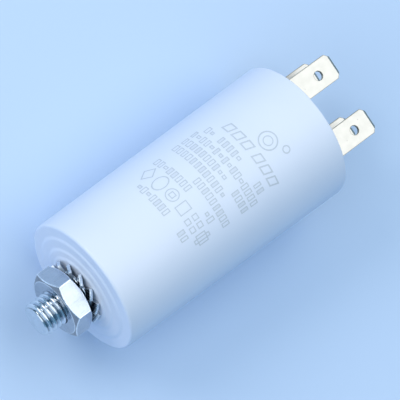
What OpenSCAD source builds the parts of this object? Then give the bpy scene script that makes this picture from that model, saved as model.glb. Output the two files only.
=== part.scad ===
/* [Case] */
// Outer diameter of the case at its base
base_d = 32; // [26:0.5:40]
// How much wider the case is at its mouth than at its base
draft = 1.6; // [0.4:0.1:2]
// Length of the case from its flat outer ring to the rim
case_l = 62.5; // [50:0.5:90]
// Side wall thickness
wall = 1.3; // [1:0.05:1.6]
// Floor thickness at the seat, with the stud head inside it
floor_t = 5.3; // [4.9:0.1:8]
// Radius of the round at the base edge
base_round = 0.8; // [0.3:0.1:1.5]
// Radius of the round at the rim
rim_round = 0.3; // [0.1:0.05:0.4]
// Chamfer between the floor and the side wall, inside
floor_chamfer = 1; // [0.3:0.1:1.5]
// Width of the flat outer ring of the base
outer_land = 2.95; // [2:0.05:4]
// Height of each of the three steps of the base
step_h = 0.3; // [0.1:0.05:0.6]
// Where the middle step lies between the seat and the outer step
middle_share = 0.42; // [0.2:0.01:0.8]

/* [Stud, nut and lock washer] */
// Thread diameter of the stud
stud_d = 8; // [5:0.5:10]
// Length of the stud beyond the washer seat
stud_l = 12; // [10:0.5:20]
// Pitch of the thread
thread_pitch = 1.25; // [0.5:0.25:1.5]
// Width across flats of the stud head inside the floor
head_af = 13; // [11:0.5:17]
// Thickness of the stud head
head_h = 2.4; // [1.5:0.1:3]
// Plastic between the seat and the stud head
head_cover = 1.9; // [1.5:0.1:2.5]
// Chamfer at the end of the stud
stud_chamfer = 0.6; // [0.3:0.1:1]
// Width across flats of the nut
nut_af = 14; // [12:0.5:17]
// Height of the nut
nut_h = 4.8; // [3:0.1:6.5]
// Diameter of the flat ring on each face of the nut
nut_face_d = 13.2; // [11.5:0.1:16]
// Angle of the chamfer on the nut's corners
nut_chamfer_angle = 30; // [15:1:45]
// Turn of the nut on its thread
nut_turn = 33; // [0:1:59]
// Outer diameter of the lock washer over its teeth
washer_d = 15; // [13.5:0.1:18]
// Width of the washer's ring
washer_ring_w = 1.5; // [1.2:0.1:2]
// Sheet thickness of the washer
washer_t = 0.7; // [0.4:0.05:0.9]
// Number of teeth
tooth_n = 12; // [8:1:12]
// Width of a tooth
tooth_w = 2.75; // [2:0.05:2.8]
// Twist of each tooth out of the washer's plane
tooth_twist = 28; // [10:1:35]
// How far each tooth runs into the ring
tooth_root = 0.5; // [0.3:0.1:0.8]
// Turn of the washer on the stud
washer_turn = 13; // [0:1:29]
// Width of the seat left around the washer
seat_margin = 0.9; // [0.3:0.1:2]

/* [Lid] */
// Depth of the lid below the rim
lid_recess = 1; // [0.5:0.1:2]
// Thickness of the lid
lid_t = 2; // [1.5:0.1:3]
// Width of the ledge that the lid sits on
ledge_w = 0.5; // [0.3:0.05:0.6]
// Length of the skirt under the lid
skirt_l = 2.5; // [1:0.1:4]
// Thickness of the skirt
skirt_t = 1; // [0.8:0.1:1.5]
// Depth of the pocket that keeps each terminal from turning
pocket_depth = 0.4; // [0.2:0.1:0.8]

/* [Terminals] */
// Distance between the middles of the two terminals
terminal_pitch = 14.6; // [12:0.1:15.5]
// Distance between the middles of a terminal's two blades
blade_pitch = 10; // [8:0.1:12]
// Width of a blade
blade_w = 6.3; // [4.8:0.1:8]
// Thickness of a blade
blade_t = 0.8; // [0.5:0.1:1]
// Height of the blade tips above the rim
blade_rise = 15.1; // [8:0.1:20]
// Distance from a blade's tip to the middle of its hole
hole_drop = 5; // [3:0.1:6]
// Diameter of the hole in a blade
hole_d = 2.2; // [1.5:0.1:3]
// Cut at the two corners of a blade's tip
tip_cut = 1.1; // [0.4:0.1:1.5]
// Depth of the bevel on each face at a blade's tip
tip_bevel = 0.2; // [0.05:0.05:0.2]
// Length of that bevel
bevel_l = 0.5; // [0.2:0.1:1]
// Inner radius of the bends in the terminals and lugs
bend_r = 0.4; // [0.2:0.1:0.8]

/* [Rivets and solder lugs] */
// Shank diameter of a terminal's rivet
rivet_d = 3.6; // [3:0.1:4]
// Diameter of the hole through the rivet
rivet_bore = 2.2; // [1.5:0.1:2.4]
// Head diameter of the rivet
rivet_head_d = 5.6; // [4.6:0.1:6]
// Head height of the rivet
rivet_head_h = 0.6; // [0.4:0.1:1]
// Diameter of the rolled end under the lug
rivet_roll_d = 5; // [4.4:0.1:6]
// Thickness of a solder lug
lug_t = 0.5; // [0.3:0.1:0.8]
// Width of a solder lug's tail
lug_w = 3.6; // [2.5:0.1:5]
// Diameter of a solder lug's eye
lug_eye_d = 6.4; // [5.5:0.1:8]
// Length of the tail that hangs down
lug_tail = 3.6; // [2.5:0.1:4]

/* [Leads] */
// Diameter of the lead wire
lead_d = 1; // [0.6:0.1:1.2]
// Wall of the sleeve around a lead
sleeve_wall = 0.4; // [0.2:0.1:0.5]
// Bend radius of the long lead under the winding
lead_bend = 2; // [1.5:0.1:2.2]
// Distance from the axis to the end of the long lead
lead_reach = 8; // [6:0.1:10]
// How far the sleeves stand out of the resin
sleeve_stand = 0.5; // [0.2:0.1:1]
// Distance from the winding to the short lead's sleeve
sleeve_start = 1.5; // [1.3:0.1:3]
// Length of lead that lies along a lug's tail
lead_overlap = 2.9; // [2:0.1:3.2]
// Diameter of the joint between a lead and its lug
joint_d = 2.4; // [2:0.1:3]
// Length of that joint
joint_l = 2.2; // [1.5:0.1:2.3]
// Diameter of the joints on the winding, where they meet it
solder_d = 3.4; // [2.8:0.1:4]
// Diameter of the upper one at its tip
solder_tip_d = 1.6; // [1.4:0.1:2]
// Height of the upper one
solder_tip_h = 1.2; // [0.8:0.1:1.2]
// Diameter of the lower one at its tip
solder_foot_d = 2; // [1.8:0.1:2.4]
// Height of the lower one
solder_foot_h = 1.4; // [1.2:0.1:1.6]

/* [Winding and filling] */
// Outer diameter of the winding's core
core_d = 7; // [6.5:0.1:9]
// Diameter of the hole through the core
core_bore = 5; // [4:0.1:6]
// Thickness of the wrap around the winding
wrap_t = 0.3; // [0.15:0.05:0.5]
// Thickness of the sprayed metal on each end
spray_t = 0.6; // [0.3:0.1:1]
// Resin between the wrap and the wall, at the bottom of the winding
resin_gap = 1.2; // [0.8:0.1:3]
// Thickness of the insulating disc on the floor
disc_t = 0.8; // [0.4:0.1:1.5]
// Room for the long lead between the disc and the winding
foot_room = 2; // [1.8:0.1:4]
// Room between the winding and the lid
head_room = 9.5; // [8.5:0.1:15]
// Air left between the resin and the lid
air_gap = 5.2; // [4.8:0.1:6]

/* [Fits] */
// Gap between faces that rest on each other
fit = 0.02; // [0.01:0.01:0.05]
// Gap around the stud, the lid and the rivets in their holes
hole_fit = 0.05; // [0.03:0.01:0.1]

/* [Hidden] */
$fn = 96;
arc_steps = 6;
over = 1; // how far a cutting shape runs past what it cuts

// Case, upwards from the seat at zero
ring_z = 3 * step_h;
rim_z = ring_z + case_l;
function outer_r(z) = (base_d + draft * (z - ring_z) / case_l) / 2;
function inner_r(z) = outer_r(z) - wall;
boss_r = washer_d / 2 + seat_margin;
outer_step_r = base_d / 2 - outer_land;
middle_step_r = boss_r + (outer_step_r - boss_r) * middle_share;
lid_top = rim_z - lid_recess;
lid_bottom = lid_top - lid_t;
ledge_r = inner_r(lid_bottom) + ledge_w;

// Stud, washer and nut, outwards from the seat
stud_end = -stud_l;
washer_h = tooth_w * sin(tooth_twist) + washer_t * cos(tooth_twist);
washer_mid = -fit - washer_h / 2;
nut_back = -washer_h - 2 * fit;
nut_front = nut_back - nut_h;
washer_bore_r = stud_d / 2 + 4 * hole_fit;
thread_depth = 0.65 * thread_pitch;
mesh_r = stud_d / 2 - thread_depth / 2; // where the threads of stud and nut meet

// Terminals, rivets and lugs, through the lid
strip_bottom = lid_top - pocket_depth + fit;
strip_top = strip_bottom + blade_t;
blade_end = rim_z + blade_rise;
rivet_hole_r = rivet_d / 2 + hole_fit;
lug_top = lid_bottom - fit;
lug_bottom = lug_top - lug_t;
tail_end = lug_bottom - lug_tail;
tail_far = terminal_pitch / 2 - lead_d / 2 - fit;

// Winding and filling, upwards from the floor
disc_bottom = floor_t + fit;
disc_top = disc_bottom + disc_t;
disc_r = inner_r(floor_t) - floor_chamfer - fit;
winding_bottom = disc_top + foot_room;
winding_top = lid_bottom - head_room;
wrap_r = inner_r(winding_bottom) - resin_gap;
winding_r = wrap_r - wrap_t;
resin_top = lid_bottom - air_gap;

// Leads
lead_r = lead_d / 2;
lead_top = tail_end + lead_overlap;
run_z = winding_bottom - fit - lead_r;
sleeve_r = lead_r + fit + sleeve_wall;
sleeve_top = resin_top + sleeve_stand;
short_sleeve_z = winding_top + sleeve_start;
short_x = -terminal_pitch / 2;
short_y = -terminal_pitch / 2;

function arc(cx, cy, r, from, to) =
    [for (i = [0:arc_steps]) let (a = from + (to - from) * i / arc_steps) [cx + r * cos(a), cy + r * sin(a)]];

// Everything is drawn upright, then laid down with the terminals towards +X
module lay() {
    rotate([0, 90, 0]) children();
}

module ring(r_out, r_in, z, h) {
    translate([0, 0, z]) difference() {
        cylinder(r = r_out, h = h);
        translate([0, 0, -over]) cylinder(r = r_in, h = h + 2 * over);
    }
}

// The thread is drawn at its outer radius, and inside the nut at the radius where both threads meet
module stud_solid() {
    difference() {
        union() {
            translate([0, 0, stud_end]) cylinder(r1 = stud_d / 2 - stud_chamfer, r2 = stud_d / 2, h = stud_chamfer);
            translate([0, 0, stud_end + stud_chamfer])
                cylinder(d = stud_d, h = head_cover - stud_end - stud_chamfer);
            translate([0, 0, head_cover]) cylinder(d = head_af / cos(30), h = head_h, $fn = 6);
        }
        ring(stud_d, mesh_r, nut_front - fit, nut_h + 2 * fit);
    }
}

module stud_pocket() {
    translate([0, 0, -over]) cylinder(r = stud_d / 2 + fit, h = head_cover + over);
    translate([0, 0, head_cover - fit])
        cylinder(d = (head_af + 2 * fit) / cos(30), h = head_h + 2 * fit, $fn = 6);
}

module case_profile() {
    polygon(concat(
        [[0, 0], [boss_r - step_h / 2, 0], [boss_r, step_h],
            [middle_step_r - step_h / 2, step_h], [middle_step_r, 2 * step_h],
            [outer_step_r - step_h / 2, 2 * step_h], [outer_step_r, ring_z]],
        arc(base_d / 2 - base_round, ring_z + base_round, base_round, -90, 0),
        arc(outer_r(rim_z) - rim_round, rim_z - rim_round, rim_round, 0, 90),
        [[ledge_r, rim_z], [ledge_r, lid_bottom], [inner_r(lid_bottom), lid_bottom],
            [inner_r(floor_t + floor_chamfer), floor_t + floor_chamfer],
            [inner_r(floor_t) - floor_chamfer, floor_t], [0, floor_t]]));
}

module case() {
    color("#e8f1fb") lay() difference() {
        rotate_extrude() case_profile();
        stud_pocket();
    }
}

module stud() {
    color("#c9d3dc") lay() stud_solid();
}

module lock_washer() {
    ring_r = washer_bore_r + washer_ring_w;
    color("#b9c6d1") lay() rotate([0, 0, washer_turn]) {
        ring(ring_r, washer_bore_r, washer_mid - washer_t / 2, washer_t);
        intersection() {
            ring(washer_d / 2, washer_bore_r, washer_mid - washer_h, 2 * washer_h);
            for (i = [0:tooth_n - 1]) rotate([0, 0, i * 360 / tooth_n])
                translate([ring_r - tooth_root, 0, washer_mid]) rotate([-tooth_twist, 0, 0])
                    translate([0, -tooth_w / 2, -washer_t / 2]) cube([washer_d / 2, tooth_w, washer_t]);
        }
    }
}

module nut_blank() {
    face_r = nut_face_d / 2;
    corner_r = nut_af / 2 / cos(30) + over;
    drop = (corner_r - face_r) * tan(nut_chamfer_angle);
    intersection() {
        rotate([0, 0, nut_turn]) cylinder(d = nut_af / cos(30), h = nut_h, $fn = 6);
        rotate_extrude() polygon([[0, 0], [face_r, 0], [corner_r, drop],
            [corner_r, nut_h - drop], [face_r, nut_h], [0, nut_h]]);
    }
}

module hex_nut() {
    bore_r = mesh_r + hole_fit;
    mouth_r = stud_d / 2 + hole_fit;
    color("#c9d3dc") lay() translate([0, 0, nut_front]) difference() {
        nut_blank();
        translate([0, 0, -over]) cylinder(r = bore_r, h = nut_h + 2 * over);
        for (m = [0, 1]) translate([0, 0, m * nut_h]) mirror([0, 0, m])
            translate([0, 0, -over]) cylinder(r1 = mouth_r + over, r2 = bore_r, h = mouth_r + over - bore_r);
    }
}

module lid() {
    lid_r = ledge_r - hole_fit;
    skirt_r = inner_r(lid_bottom - skirt_l) - 3 * hole_fit;
    pocket_x = blade_pitch + blade_t + 4 * hole_fit;
    pocket_y = blade_w + 4 * hole_fit;
    color("#dfe9f4") lay() difference() {
        union() {
            translate([0, 0, lid_bottom + fit]) cylinder(r = lid_r, h = lid_t - fit);
            ring(skirt_r, skirt_r - skirt_t, lid_bottom - skirt_l, skirt_l + lid_t / 2);
        }
        for (s = [-1, 1]) translate([0, s * terminal_pitch / 2, 0]) {
            translate([-pocket_x / 2, -pocket_y / 2, lid_top - pocket_depth])
                cube([pocket_x, pocket_y, pocket_depth + over]);
            translate([0, 0, lid_bottom - over]) cylinder(r = rivet_hole_r, h = lid_t + 2 * over);
        }
    }
}

// Outline of a double terminal seen along the row of terminals
module terminal_profile() {
    out_x = (blade_pitch + blade_t) / 2;
    in_x = out_x - blade_t;
    out_bend = bend_r + blade_t;
    h = blade_end - strip_bottom;
    half = concat(
        arc(out_x - out_bend, out_bend, out_bend, -90, 0),
        [[out_x, h - bevel_l], [out_x - tip_bevel, h], [in_x + tip_bevel, h], [in_x, h - bevel_l]],
        arc(in_x - bend_r, blade_t + bend_r, bend_r, 0, -90));
    n = len(half);
    polygon(concat(half, [for (i = [0:n - 1]) [-half[n - 1 - i][0], half[n - 1 - i][1]]]));
}

module terminal() {
    top = blade_end - strip_bottom;
    span = blade_pitch + blade_t + 2 * over;
    difference() {
        intersection() {
            translate([0, blade_w / 2, 0]) rotate([90, 0, 0]) linear_extrude(blade_w) terminal_profile();
            translate([-span / 2, 0, 0]) rotate([90, 0, 90]) linear_extrude(span)
                polygon([[-blade_w / 2, 0], [blade_w / 2, 0], [blade_w / 2, top - tip_cut],
                    [blade_w / 2 - tip_cut, top], [-blade_w / 2 + tip_cut, top], [-blade_w / 2, top - tip_cut]]);
        }
        translate([0, 0, -over]) cylinder(r = rivet_hole_r, h = blade_t + 2 * over);
        translate([-span / 2, 0, top - hole_drop]) rotate([0, 90, 0]) cylinder(d = hole_d, h = span);
    }
}

module place_terminal(s) {
    color("#d8d2c4") lay() translate([0, s * terminal_pitch / 2, strip_bottom]) terminal();
}

module terminal_left() { place_terminal(1); }
module terminal_right() { place_terminal(-1); }

// Tubular rivet: a domed head on the terminal and an end rolled over under the lug
module rivet(s) {
    head_r = rivet_head_d / 2;
    roll_r = rivet_roll_d / 2;
    head_z = strip_top + fit;
    roll_z = lug_bottom - fit;
    color("#c7c3b8") lay() translate([0, s * terminal_pitch / 2, 0]) rotate_extrude() polygon([
        [rivet_bore / 2, roll_z - rivet_head_h], [roll_r - rivet_head_h / 2, roll_z - rivet_head_h],
        [roll_r, roll_z - rivet_head_h / 2], [roll_r, roll_z], [rivet_d / 2, roll_z],
        [rivet_d / 2, head_z], [head_r, head_z], [head_r, head_z + rivet_head_h / 3],
        [head_r - rivet_head_h, head_z + rivet_head_h], [rivet_bore / 2, head_z + rivet_head_h]]);
}

module rivet_left() { rivet(1); }
module rivet_right() { rivet(-1); }

// Solder lug: an eye around the rivet and a tail bent down, towards -Y before it is turned
module lug_solid() {
    out_bend = bend_r + lug_t;
    difference() {
        union() {
            translate([0, 0, lug_bottom]) cylinder(d = lug_eye_d, h = lug_t);
            translate([-lug_w / 2, 0, 0]) rotate([90, 0, 90]) linear_extrude(lug_w) polygon(concat(
                [[0, lug_top]], arc(-tail_far + out_bend, lug_top - out_bend, out_bend, 90, 180),
                [[-tail_far, tail_end], [-tail_far + lug_t, tail_end]],
                arc(-tail_far + out_bend, lug_bottom - bend_r, bend_r, 180, 90), [[0, lug_bottom]]));
        }
        translate([0, 0, lug_bottom - over]) cylinder(r = rivet_hole_r, h = lug_t + 2 * over);
    }
}

module solder_lug_left() {
    color("#c7c3b8") lay() translate([0, terminal_pitch / 2, 0]) lug_solid();
}

module solder_lug_right() {
    color("#c7c3b8") lay() translate([0, -terminal_pitch / 2, 0]) rotate([0, 0, -90]) lug_solid();
}

// Down through the core, then out under the winding
module long_lead_solid(grow = 0) {
    r = lead_r + grow;
    translate([0, 0, run_z + lead_bend]) cylinder(r = r, h = lead_top - run_z - lead_bend);
    translate([0, lead_bend, run_z + lead_bend]) rotate([90, 0, 90]) rotate([0, 0, 180])
        rotate_extrude(angle = 90) translate([lead_bend, 0]) circle(r = r);
    translate([0, lead_bend, run_z]) rotate([-90, 0, 0]) cylinder(r = r, h = lead_reach - lead_bend + grow);
}

module long_lead() {
    color("#cfd2d4") lay() long_lead_solid();
}

module short_lead() {
    color("#cfd2d4") lay() translate([short_x, short_y, winding_top + fit])
        cylinder(r = lead_r, h = lead_top - winding_top - fit);
}

module long_lead_sleeve() {
    from = winding_bottom + 2 * lead_bend;
    color("#b8352c") lay() ring(sleeve_r, lead_r + fit, from, sleeve_top - from);
}

module short_lead_sleeve() {
    color("#2f3f8f") lay() translate([short_x, short_y, 0])
        ring(sleeve_r, lead_r + fit, short_sleeve_z, sleeve_top - short_sleeve_z);
}

// Solder between a lead and its lug's tail, which stands on the lead's +Y side before it is turned
module lug_joint() {
    difference() {
        translate([0, 0, lead_top - joint_l - lead_r]) cylinder(d = joint_d, h = joint_l);
        translate([0, 0, tail_end - over]) cylinder(r = lead_r + fit, h = lug_tail + over);
        translate([-joint_d, lead_r, tail_end - over]) cube([2 * joint_d, joint_d, lug_tail + 2 * over]);
    }
}

module lug_joint_left() {
    color("#aeb4b8") lay() lug_joint();
}

module lug_joint_right() {
    color("#aeb4b8") lay() translate([short_x, short_y, 0]) rotate([0, 0, -90]) lug_joint();
}

module top_joint_solid(grow = 0) {
    translate([short_x, short_y, winding_top + fit])
        cylinder(d1 = solder_d + 2 * grow, d2 = solder_tip_d + 2 * grow, h = solder_tip_h + grow);
}

module top_joint() {
    color("#aeb4b8") lay() difference() {
        top_joint_solid();
        translate([short_x, short_y, winding_top]) cylinder(r = lead_r + fit, h = solder_tip_h + over);
    }
}

module bottom_joint_solid(grow = 0) {
    h = solder_foot_h + grow;
    translate([0, lead_reach, winding_bottom - fit - h])
        cylinder(d1 = solder_foot_d + 2 * grow, d2 = solder_d + 2 * grow, h = h);
}

module bottom_joint() {
    color("#aeb4b8") lay() difference() {
        bottom_joint_solid();
        long_lead_solid(fit);
    }
}

module film_winding() {
    color("#d9dde0") lay()
        ring(winding_r - fit, core_d / 2 + fit, winding_bottom + spray_t + fit,
            winding_top - winding_bottom - 2 * spray_t - 2 * fit);
}

module winding_core() {
    color("#f2efe6") lay() ring(core_d / 2, core_bore / 2, winding_bottom, winding_top - winding_bottom);
}

module winding_wrap() {
    color("#f0e3a8") lay() ring(wrap_r, winding_r, winding_bottom, winding_top - winding_bottom);
}

module end_spray(z) {
    color("#a3a7ab") lay() ring(winding_r - fit, core_d / 2 + fit, z, spray_t);
}

module end_spray_top() { end_spray(winding_top - spray_t); }
module end_spray_bottom() { end_spray(winding_bottom); }

module insulating_disc() {
    color("#8a6b4a") lay() translate([0, 0, disc_bottom]) cylinder(r = disc_r, h = disc_t);
}

module potting_resin() {
    color("#6f7a5a") lay() difference() {
        rotate_extrude() polygon([
            [0, disc_top + fit], [disc_r + fit, disc_top + fit],
            [inner_r(disc_top + floor_chamfer) - fit, disc_top + floor_chamfer],
            [inner_r(resin_top) - fit, resin_top], [0, resin_top]]);
        translate([0, 0, winding_bottom - fit])
            cylinder(r = wrap_r + fit, h = winding_top - winding_bottom + 2 * fit);
        long_lead_solid(fit);
        translate([0, 0, winding_top]) cylinder(r = sleeve_r + fit, h = resin_top);
        bottom_joint_solid(fit);
        top_joint_solid(fit);
        translate([short_x, short_y, winding_top]) cylinder(r = lead_r + fit, h = resin_top);
        translate([short_x, short_y, short_sleeve_z - fit]) cylinder(r = sleeve_r + fit, h = resin_top);
    }
}

case();
stud();
lock_washer();
hex_nut();
lid();
terminal_left();
terminal_right();
rivet_left();
rivet_right();
solder_lug_left();
solder_lug_right();
long_lead();
short_lead();
long_lead_sleeve();
short_lead_sleeve();
lug_joint_left();
lug_joint_right();
top_joint();
bottom_joint();
film_winding();
winding_core();
winding_wrap();
end_spray_top();
end_spray_bottom();
insulating_disc();
potting_resin();
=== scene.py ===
import math
import bmesh
import bpy
from mathutils import Matrix, Vector


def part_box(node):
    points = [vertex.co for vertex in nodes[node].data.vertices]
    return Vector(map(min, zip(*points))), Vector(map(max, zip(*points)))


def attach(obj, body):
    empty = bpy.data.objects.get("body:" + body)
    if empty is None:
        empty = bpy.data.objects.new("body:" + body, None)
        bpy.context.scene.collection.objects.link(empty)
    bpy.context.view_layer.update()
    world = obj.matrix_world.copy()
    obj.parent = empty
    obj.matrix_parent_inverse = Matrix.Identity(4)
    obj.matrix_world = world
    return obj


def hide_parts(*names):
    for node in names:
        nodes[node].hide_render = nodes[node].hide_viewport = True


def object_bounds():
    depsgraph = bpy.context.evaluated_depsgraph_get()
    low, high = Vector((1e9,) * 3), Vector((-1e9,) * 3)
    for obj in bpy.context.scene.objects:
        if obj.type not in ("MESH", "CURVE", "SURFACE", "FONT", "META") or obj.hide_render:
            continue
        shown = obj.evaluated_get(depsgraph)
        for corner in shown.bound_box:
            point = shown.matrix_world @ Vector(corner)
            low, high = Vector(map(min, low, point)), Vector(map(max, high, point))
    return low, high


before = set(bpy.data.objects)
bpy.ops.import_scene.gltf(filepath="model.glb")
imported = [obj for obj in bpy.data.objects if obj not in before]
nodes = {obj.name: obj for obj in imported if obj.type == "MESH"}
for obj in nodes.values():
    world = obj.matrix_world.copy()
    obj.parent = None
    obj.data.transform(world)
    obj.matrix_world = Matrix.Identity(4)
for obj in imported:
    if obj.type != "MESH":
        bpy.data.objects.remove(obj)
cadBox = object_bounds()

mm = 0.001  # lengths are in mm, and the can's axis is X
spare = 1  # how far a cutting tool stands out past what it cuts


def cadRange(node, axis):  # lowest and highest place of a CAD node along an axis
    low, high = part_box(node)
    return low[axis] / mm, high[axis] / mm


def makeActive(obj):
    if bpy.context.object and bpy.context.object.mode != "OBJECT":
        bpy.ops.object.mode_set(mode="OBJECT")
    bpy.ops.object.select_all(action="DESELECT")
    obj.select_set(True)
    bpy.context.view_layer.objects.active = obj


def settle(name):  # the new object's place goes into its mesh
    obj = bpy.context.object
    obj.name = name
    obj.data.name = name
    bpy.ops.object.transform_apply(location=True, rotation=True, scale=True)
    return obj


def addRod(name, radius, start, end, sides, y=0):  # closed cylinder along X
    bpy.ops.object.select_all(action="DESELECT")
    bpy.ops.mesh.primitive_cylinder_add(
        vertices=sides, radius=radius * mm, depth=(end - start) * mm,
        location=((start + end) / 2 * mm, y * mm, 0), rotation=(0, math.pi / 2, 0))
    return settle(name)


def cornerRadius(across):  # of a hexagon, from its width across the flats
    return across / 2 / math.cos(math.pi / 6)


def hexRod(name, across, start, end, turn):  # turn is the angle of one corner from +Y, in degrees
    obj = addRod(name, cornerRadius(across), start, end, 6)
    turnOnAxis(obj, turn)
    return obj


def addBlock(name, low, high):
    bpy.ops.object.select_all(action="DESELECT")
    bpy.ops.mesh.primitive_cube_add(size=mm, location=[(a + b) / 2 * mm for a, b in zip(low, high)])
    bpy.context.object.scale = [b - a for a, b in zip(low, high)]
    return settle(name)


def turnOnAxis(obj, degrees):
    makeActive(obj)
    obj.rotation_euler = (math.radians(degrees), 0, 0)
    bpy.ops.object.transform_apply(location=False, rotation=True, scale=False)


def radiusOf(point):
    return math.hypot(point.y, point.z) / mm


def near(a, b, tolerance=0.02):
    return abs(a - b) < tolerance


def pick(obj, kind, test):  # leaves edit mode on with only what passes the test selected
    makeActive(obj)
    bpy.ops.object.mode_set(mode="EDIT")
    bpy.ops.mesh.select_mode(type=kind)
    bpy.ops.mesh.select_all(action="DESELECT")
    mesh = bmesh.from_edit_mesh(obj.data)
    for thing in {"FACE": mesh.faces, "EDGE": mesh.edges, "VERT": mesh.verts}[kind]:
        if test(thing):
            thing.select_set(True)
    bmesh.update_edit_mesh(obj.data)


def pickEnd(obj, x, sign):  # the flat end at x that faces +X or -X
    def isEnd(face):
        return near(face.calc_center_median().x / mm, x) and face.normal.x * sign > 0.9
    pick(obj, "FACE", isEnd)


def inset(width, rise=0):
    bpy.ops.mesh.inset(thickness=width * mm, depth=rise * mm)


def extrude(x=0, y=0):
    bpy.ops.mesh.extrude_region_move(TRANSFORM_OT_translate={"value": (x * mm, y * mm, 0)})


def widen(factor, x):  # scales the selection across the axis
    bpy.ops.transform.resize(value=(1, factor, factor), center_override=(x * mm, 0, 0))


def editDone():
    bpy.ops.object.mode_set(mode="OBJECT")


def roundRings(obj, width, segments, *rings):  # bevels the edges round the axis at (x, radius)
    def onRing(edge):
        return any(all(near(v.co.x / mm, x) and near(radiusOf(v.co), r, 0.04) for v in edge.verts)
                   for x, r in rings)
    pick(obj, "EDGE", onRing)
    bpy.ops.mesh.bevel(offset=width * mm, segments=segments, profile=0.5, affect="EDGES")
    editDone()


def cutOff(obj, place, way):  # closes the cut and drops what lies further along the way
    pick(obj, "FACE", lambda face: True)
    bpy.ops.mesh.bisect(plane_co=[p * mm for p in place], plane_no=way, use_fill=True,
                        clear_inner=False, clear_outer=True, threshold=0.0001 * mm)
    editDone()


def useModifier(obj, kind, **settings):
    makeActive(obj)
    modifier = obj.modifiers.new(kind.lower(), kind)
    for key, value in settings.items():
        setattr(modifier, key, value)
    bpy.ops.object.modifier_apply(modifier=modifier.name)


def carve(obj, tool, operation="DIFFERENCE"):
    useModifier(obj, "BOOLEAN", object=tool, operation=operation, solver="EXACT")
    bpy.data.objects.remove(tool)


def cleanUp(obj, distance=0.002):  # merges doubles, then turns every face outwards
    makeActive(obj)
    bpy.ops.object.mode_set(mode="EDIT")
    bpy.ops.mesh.select_all(action="SELECT")
    bpy.ops.mesh.remove_doubles(threshold=distance * mm)
    bpy.ops.mesh.normals_make_consistent(inside=False)
    editDone()


def roundEdges(obj, piece):  # bevels the edges that bend by more than the piece's edge angle
    cleanUp(obj, 0.01)
    useModifier(obj, "BEVEL", width=piece["edgeRound"] * mm, segments=2, limit_method="ANGLE",
                angle_limit=math.radians(piece["edgeAngle"]), use_clamp_overlap=False)


def smooth(obj):  # flat faces stay flat, and only the rounded edges turn the light
    makeActive(obj)
    bpy.ops.object.shade_smooth_by_angle(angle=math.radians(35))
    useModifier(obj, "WEIGHTED_NORMAL", keep_sharp=True, weight=60)


def finishPiece(obj, material, nodeNames):
    obj.data.materials.clear()
    obj.data.materials.append(material)
    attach(obj, "root")
    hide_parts(*nodeNames)
    print("piece", obj.name, len(obj.data.polygons), "faces")


class Wire:  # a node's output, used in Python expressions
    def __init__(self, board, socket):
        self.board = board
        self.socket = socket

    def maths(self, operation, *others):
        return self.board.add("Math", {"operation": operation}, dict(enumerate((self, *others))))

    def __add__(self, other):
        return self.maths("ADD", other)

    def __sub__(self, other):
        return self.maths("SUBTRACT", other)

    def __rsub__(self, other):
        return self.board.add("Math", {"operation": "SUBTRACT"}, {0: other, 1: self})

    def __mul__(self, other):
        return self.maths("MULTIPLY", other)

    def __truediv__(self, other):
        return self.maths("DIVIDE", other)

    def __lt__(self, other):
        return self.maths("LESS_THAN", other)

    def __gt__(self, other):
        return self.maths("GREATER_THAN", other)

    def __abs__(self):
        return self.maths("ABSOLUTE")

    def __or__(self, other):
        return self.maths("MAXIMUM", other)

    def __and__(self, other):
        return self.maths("MINIMUM", other)

    __radd__ = __add__
    __rmul__ = __mul__

    def also(self, output):  # another output of the same node
        return Wire(self.board, self.socket.node.outputs[output])


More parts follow.
